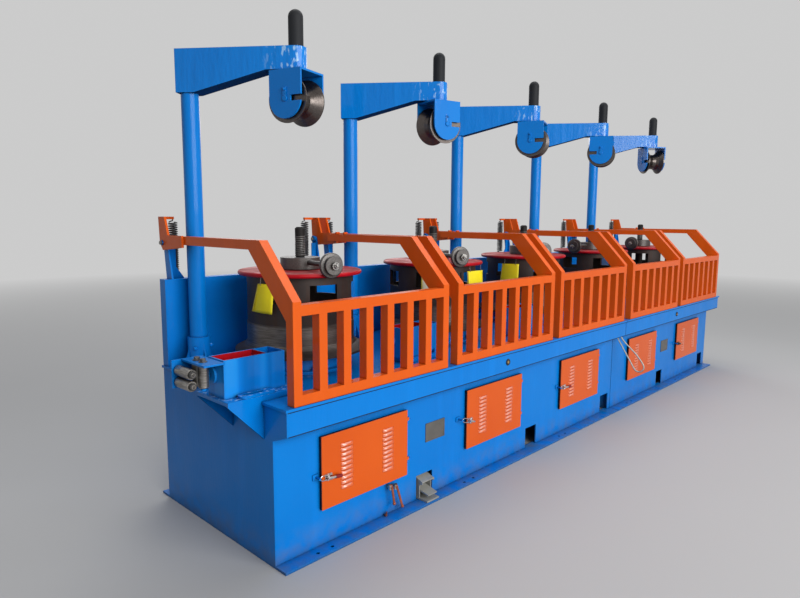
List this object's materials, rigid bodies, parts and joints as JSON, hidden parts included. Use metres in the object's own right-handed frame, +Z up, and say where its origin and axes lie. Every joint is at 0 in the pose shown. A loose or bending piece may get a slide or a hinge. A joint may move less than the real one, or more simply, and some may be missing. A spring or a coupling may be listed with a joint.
{
  "type": "straight wire drawing machine",
  "caption": "Straight-line wire drawing machine: a long cabinet with upright drums behind lifting lattice guards, die boxes, and swivelling overhead pulleys on posts with arms.",
  "frame": {"origin": "on the floor at the foot of the front wall, halfway along the cabinet", "axes": "+X along the machine from the wire inlet to the last drum, +Y from the front wall to the rear, +Z up"},
  "size_m": [5.77, 1.3541, 2.54],
  "materials": {
    "blue_paint": "glossy blue machine paint",
    "orange_paint": "glossy orange machine paint",
    "drum_iron": "worn bare iron with a red painted flange",
    "dark_steel": "dark oily steel",
    "bare_steel": "turned steel, oily",
    "black_steel": "black coil springs",
    "grey_metal": "grey hammered cast housing",
    "hose_rubber": "light grey hose",
    "valve_red": "dull red handles"
  },
  "bodies": {
    "machine": {"front_wall_left": "blue_paint", "front_wall_right": "blue_paint", "end_plates": "blue_paint", "rear_walls": "blue_paint", "table_plates": "blue_paint", "front_ledges": "blue_paint", "foot_rails": "blue_paint", "back_walls": "blue_paint", "end_shelf": "blue_paint", "posts": "blue_paint", "post_sockets": "blue_paint", "arms": "blue_paint", "drum_pedestals": "blue_paint", "guard_brackets": "blue_paint", "guard_springs": "black_steel", "die_boxes": "blue_paint", "inlet_frame": "blue_paint", "foot_pedal": "grey_metal", "valve_levers": "valve_red", "door_hinges": "orange_paint", "hose_loop": "hose_rubber"},
    "door_1": {"door_1": "orange_paint"},
    "drum_1": {"drum_1": "drum_iron"},
    "flyer_1": {"flyer_1": "dark_steel"},
    "flyer_pulley_1": {"flyer_pulley_1": "dark_steel"},
    "fork_1": {"fork_1": "blue_paint"},
    "head_pulley_1": {"head_pulley_1": "bare_steel"},
    "guard_1": {"guard_1": "orange_paint"},
    "door_2": {"door_2": "orange_paint"},
    "drum_2": {"drum_2": "drum_iron"},
    "flyer_2": {"flyer_2": "dark_steel"},
    "flyer_pulley_2": {"flyer_pulley_2": "dark_steel"},
    "fork_2": {"fork_2": "blue_paint"},
    "head_pulley_2": {"head_pulley_2": "bare_steel"},
    "guard_2": {"guard_2": "orange_paint"},
    "door_3": {"door_3": "orange_paint"},
    "drum_3": {"drum_3": "drum_iron"},
    "flyer_3": {"flyer_3": "dark_steel"},
    "flyer_pulley_3": {"flyer_pulley_3": "dark_steel"},
    "fork_3": {"fork_3": "blue_paint"},
    "head_pulley_3": {"head_pulley_3": "bare_steel"},
    "guard_3": {"guard_3": "orange_paint"},
    "door_4": {"door_4": "orange_paint"},
    "drum_4": {"drum_4": "drum_iron"},
    "flyer_4": {"flyer_4": "dark_steel"},
    "flyer_pulley_4": {"flyer_pulley_4": "dark_steel"},
    "fork_4": {"fork_4": "blue_paint"},
    "head_pulley_4": {"head_pulley_4": "bare_steel"},
    "guard_4": {"guard_4": "orange_paint"},
    "door_5": {"door_5": "orange_paint"},
    "drum_5": {"drum_5": "drum_iron"},
    "flyer_5": {"flyer_5": "dark_steel"},
    "flyer_pulley_5": {"flyer_pulley_5": "dark_steel"},
    "fork_5": {"fork_5": "blue_paint"},
    "head_pulley_5": {"head_pulley_5": "bare_steel"},
    "guard_5": {"guard_5": "orange_paint"},
    "inlet_roller_upper": {"inlet_roller_upper": "bare_steel"},
    "inlet_roller_lower": {"inlet_roller_lower": "bare_steel"},
    "inlet_roller_front": {"inlet_roller_front": "bare_steel"},
    "inlet_roller_rear": {"inlet_roller_rear": "bare_steel"}
  },
  "joints": [
    {"name": "door_1_hinge", "type": "hinge", "parent": "machine", "child": "door_1", "pos_m": [-1.905, -0.012, 0.3665], "axis": [0, 0, 1], "range_deg": [0, 110]},
    {"name": "drum_1_spin", "type": "hinge", "parent": "machine", "child": "drum_1", "pos_m": [-2.184, 0.522, 1], "axis": [0, 0, 1], "continuous": true},
    {"name": "flyer_1_turn", "type": "hinge", "parent": "drum_1", "child": "flyer_1", "pos_m": [-2.184, 0.522, 1.297], "axis": [0, 0, 1], "continuous": true},
    {"name": "flyer_pulley_1_spin", "type": "hinge", "parent": "flyer_1", "child": "flyer_pulley_1", "pos_m": [-2.25155, 0.1745, 1.303], "axis": [-0.1908, -0.9816, 0], "continuous": true},
    {"name": "fork_1_swivel", "type": "hinge", "parent": "machine", "child": "fork_1", "pos_m": [-2.26939, 0.41596, 2.3], "axis": [0, 0, 1], "continuous": true},
    {"name": "head_pulley_1_spin", "type": "hinge", "parent": "fork_1", "child": "head_pulley_1", "pos_m": [-2.26939, 0.41596, 2.106], "axis": [0.9613, 0.2756, 0], "continuous": true},
    {"name": "guard_1_lift", "type": "hinge", "parent": "machine", "child": "guard_1", "pos_m": [-2.197, 1.01, 1.4], "axis": [-1, 0, 0], "range_deg": [0, 50], "deforming": ["guard_springs"]},
    {"name": "door_2_hinge", "type": "hinge", "parent": "machine", "child": "door_2", "pos_m": [-0.825, -0.012, 0.3665], "axis": [0, 0, 1], "range_deg": [0, 110]},
    {"name": "drum_2_spin", "type": "hinge", "parent": "machine", "child": "drum_2", "pos_m": [-1.104, 0.522, 1], "axis": [0, 0, 1], "continuous": true},
    {"name": "flyer_2_turn", "type": "hinge", "parent": "drum_2", "child": "flyer_2", "pos_m": [-1.104, 0.522, 1.297], "axis": [0, 0, 1], "continuous": true},
    {"name": "flyer_pulley_2_spin", "type": "hinge", "parent": "flyer_2", "child": "flyer_pulley_2", "pos_m": [-1.22507, 0.18935, 1.303], "axis": [-0.342, -0.9397, 0], "continuous": true},
    {"name": "fork_2_swivel", "type": "hinge", "parent": "machine", "child": "fork_2", "pos_m": [-1.18939, 0.41596, 2.3], "axis": [0, 0, 1], "continuous": true},
    {"name": "head_pulley_2_spin", "type": "hinge", "parent": "fork_2", "child": "head_pulley_2", "pos_m": [-1.18939, 0.41596, 2.106], "axis": [0.2419, 0.9703, 0], "continuous": true},
    {"name": "guard_2_lift", "type": "hinge", "parent": "machine", "child": "guard_2", "pos_m": [-1.117, 1.01, 1.4], "axis": [-1, 0, 0], "range_deg": [0, 50], "deforming": ["guard_springs"]},
    {"name": "door_3_hinge", "type": "hinge", "parent": "machine", "child": "door_3", "pos_m": [0.255, -0.012, 0.3665], "axis": [0, 0, 1], "range_deg": [0, 110]},
    {"name": "drum_3_spin", "type": "hinge", "parent": "machine", "child": "drum_3", "pos_m": [-0.024, 0.522, 1], "axis": [0, 0, 1], "continuous": true},
    {"name": "flyer_3_turn", "type": "hinge", "parent": "drum_3", "child": "flyer_3", "pos_m": [-0.024, 0.522, 1.297], "axis": [0, 0, 1], "continuous": true},
    {"name": "flyer_pulley_3_spin", "type": "hinge", "parent": "flyer_3", "child": "flyer_pulley_3", "pos_m": [-0.21159, 0.22179, 1.303], "axis": [-0.5299, -0.848, 0], "continuous": true},
    {"name": "fork_3_swivel", "type": "hinge", "parent": "machine", "child": "fork_3", "pos_m": [-0.10939, 0.41596, 2.3], "axis": [0, 0, 1], "continuous": true},
    {"name": "head_pulley_3_spin", "type": "hinge", "parent": "fork_3", "child": "head_pulley_3", "pos_m": [-0.10939, 0.41596, 2.106], "axis": [0.9272, 0.3746, 0], "continuous": true},
    {"name": "guard_3_lift", "type": "hinge", "parent": "machine", "child": "guard_3", "pos_m": [-0.037, 1.01, 1.4], "axis": [-1, 0, 0], "range_deg": [0, 50], "deforming": ["guard_springs"]},
    {"name": "door_4_hinge", "type": "hinge", "parent": "machine", "child": "door_4", "pos_m": [1.372, -0.012, 0.3665], "axis": [0, 0, 1], "range_deg": [0, 110]},
    {"name": "drum_4_spin", "type": "hinge", "parent": "machine", "child": "drum_4", "pos_m": [1.093, 0.522, 1], "axis": [0, 0, 1], "continuous": true},
    {"name": "flyer_4_turn", "type": "hinge", "parent": "drum_4", "child": "flyer_4", "pos_m": [1.093, 0.522, 1.297], "axis": [0, 0, 1], "continuous": true},
    {"name": "flyer_pulley_4_spin", "type": "hinge", "parent": "flyer_4", "child": "flyer_pulley_4", "pos_m": [0.73986, 0.49731, 1.303], "axis": [-0.9976, -0.0698, 0], "continuous": true},
    {"name": "fork_4_swivel", "type": "hinge", "parent": "machine", "child": "fork_4", "pos_m": [1.00761, 0.41596, 2.3], "axis": [0, 0, 1], "continuous": true},
    {"name": "head_pulley_4_spin", "type": "hinge", "parent": "fork_4", "child": "head_pulley_4", "pos_m": [1.00761, 0.41596, 2.106], "axis": [-0.9205, -0.3907, 0], "continuous": true},
    {"name": "guard_4_lift", "type": "hinge", "parent": "machine", "child": "guard_4", "pos_m": [1.08, 1.01, 1.4], "axis": [-1, 0, 0], "range_deg": [0, 50], "deforming": ["guard_springs"]},
    {"name": "door_5_hinge", "type": "hinge", "parent": "machine", "child": "door_5", "pos_m": [2.452, -0.012, 0.3665], "axis": [0, 0, 1], "range_deg": [0, 110]},
    {"name": "drum_5_spin", "type": "hinge", "parent": "machine", "child": "drum_5", "pos_m": [2.173, 0.522, 1], "axis": [0, 0, 1], "continuous": true},
    {"name": "flyer_5_turn", "type": "hinge", "parent": "drum_5", "child": "flyer_5", "pos_m": [2.173, 0.522, 1.297], "axis": [0, 0, 1], "continuous": true},
    {"name": "flyer_pulley_5_spin", "type": "hinge", "parent": "flyer_5", "child": "flyer_pulley_5", "pos_m": [1.82438, 0.46053, 1.303], "axis": [-0.9848, -0.1736, 0], "continuous": true},
    {"name": "fork_5_swivel", "type": "hinge", "parent": "machine", "child": "fork_5", "pos_m": [2.08761, 0.41596, 2.3], "axis": [0, 0, 1], "continuous": true},
    {"name": "head_pulley_5_spin", "type": "hinge", "parent": "fork_5", "child": "head_pulley_5", "pos_m": [2.08761, 0.41596, 2.106], "axis": [0.766, -0.6428, 0], "continuous": true},
    {"name": "guard_5_lift", "type": "hinge", "parent": "machine", "child": "guard_5", "pos_m": [2.16, 1.01, 1.4], "axis": [-1, 0, 0], "range_deg": [0, 50], "deforming": ["guard_springs"]},
    {"name": "inlet_upper_spin", "type": "hinge", "parent": "machine", "child": "inlet_roller_upper", "pos_m": [-2.997, 0.244, 0.8905], "axis": [0, 1, 0], "continuous": true},
    {"name": "inlet_lower_spin", "type": "hinge", "parent": "machine", "child": "inlet_roller_lower", "pos_m": [-2.997, 0.244, 0.8395], "axis": [0, 1, 0], "continuous": true},
    {"name": "inlet_front_spin", "type": "hinge", "parent": "machine", "child": "inlet_roller_front", "pos_m": [-2.943, 0.1885, 0.87], "axis": [0, 0, 1], "continuous": true},
    {"name": "inlet_rear_spin", "type": "hinge", "parent": "machine", "child": "inlet_roller_rear", "pos_m": [-2.943, 0.2395, 0.87], "axis": [0, 0, 1], "continuous": true}
  ]
}
